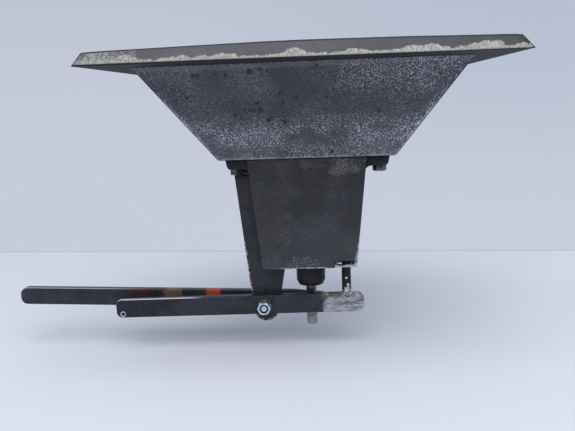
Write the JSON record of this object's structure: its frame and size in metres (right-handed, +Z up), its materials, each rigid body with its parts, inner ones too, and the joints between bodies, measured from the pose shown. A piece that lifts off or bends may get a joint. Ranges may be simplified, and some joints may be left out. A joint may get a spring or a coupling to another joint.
{
  "type": "garden spreader",
  "caption": "Square hopper pan with a turned-up rim on a narrow feed box, with a plug valve worked by crossing flat-bar hand levers.",
  "frame": {"origin": "centre of the rim's flat underside, the seat that carries the spreader", "axes": "+X away from the lever handles, +Y to the rear (outlet side), +Z up"},
  "size_m": [0.4934, 0.295, 0.2765],
  "materials": {
    "mill_scale_steel": "dark mill scale with rust specks",
    "dark_steel": "dark mill scale",
    "ground_steel": "ground bright",
    "zinc_steel": "zinc plated"
  },
  "bodies": {
    "frame": {"rim_front": "mill_scale_steel", "rim_rear": "mill_scale_steel", "rim_left": "mill_scale_steel", "rim_right": "mill_scale_steel", "hopper_front": "mill_scale_steel", "hopper_rear": "mill_scale_steel", "hopper_left": "mill_scale_steel", "hopper_right": "mill_scale_steel", "throat_plate": "dark_steel", "box_flange": "dark_steel", "box_front": "dark_steel", "box_rear": "dark_steel", "box_left": "dark_steel", "box_right": "dark_steel", "outlet_chute": "dark_steel", "pivot_bracket": "dark_steel", "stem_guide": "dark_steel", "seat_ring": "ground_steel", "box_floor": "ground_steel", "ear_bolt_left": "zinc_steel", "ear_bolt_right": "zinc_steel", "ear_nut_left": "zinc_steel", "ear_nut_right": "zinc_steel", "pivot_bolt": "zinc_steel", "pivot_nut": "zinc_steel", "lock_nut": "zinc_steel", "front_washer": "zinc_steel", "rear_washer": "zinc_steel", "front_spacer": "zinc_steel", "rear_spacer": "zinc_steel"},
    "long_lever": {"long_lever": "dark_steel"},
    "valve": {"valve_stem": "ground_steel", "valve_plug": "ground_steel", "plug_nut": "zinc_steel", "stem_pin": "zinc_steel", "stem_pin_washer": "zinc_steel"},
    "short_lever": {"short_lever": "dark_steel", "push_rod": "dark_steel", "agitator_paddle": "dark_steel"}
  },
  "joints": [
    {"name": "long_lever_pivot", "type": "hinge", "parent": "frame", "child": "long_lever", "pos_m": [-0.0475, 0.0105, -0.2385], "axis": [0, -1, 0], "range_deg": [0, 10]},
    {"name": "valve_slide", "type": "slide", "parent": "frame", "child": "valve", "axis": [0, 0, 1], "range_m": [0, 0.0084]},
    {"name": "short_lever_pivot", "type": "hinge", "parent": "frame", "child": "short_lever", "pos_m": [-0.0475, -0.0115, -0.2385], "axis": [0, -1, 0], "range_deg": [-1.5, 5.5]}
  ],
  "couplings": [
    {"joint": "valve_slide", "follows": "long_lever_pivot", "m_per_rad": 0.0475}
  ]
}
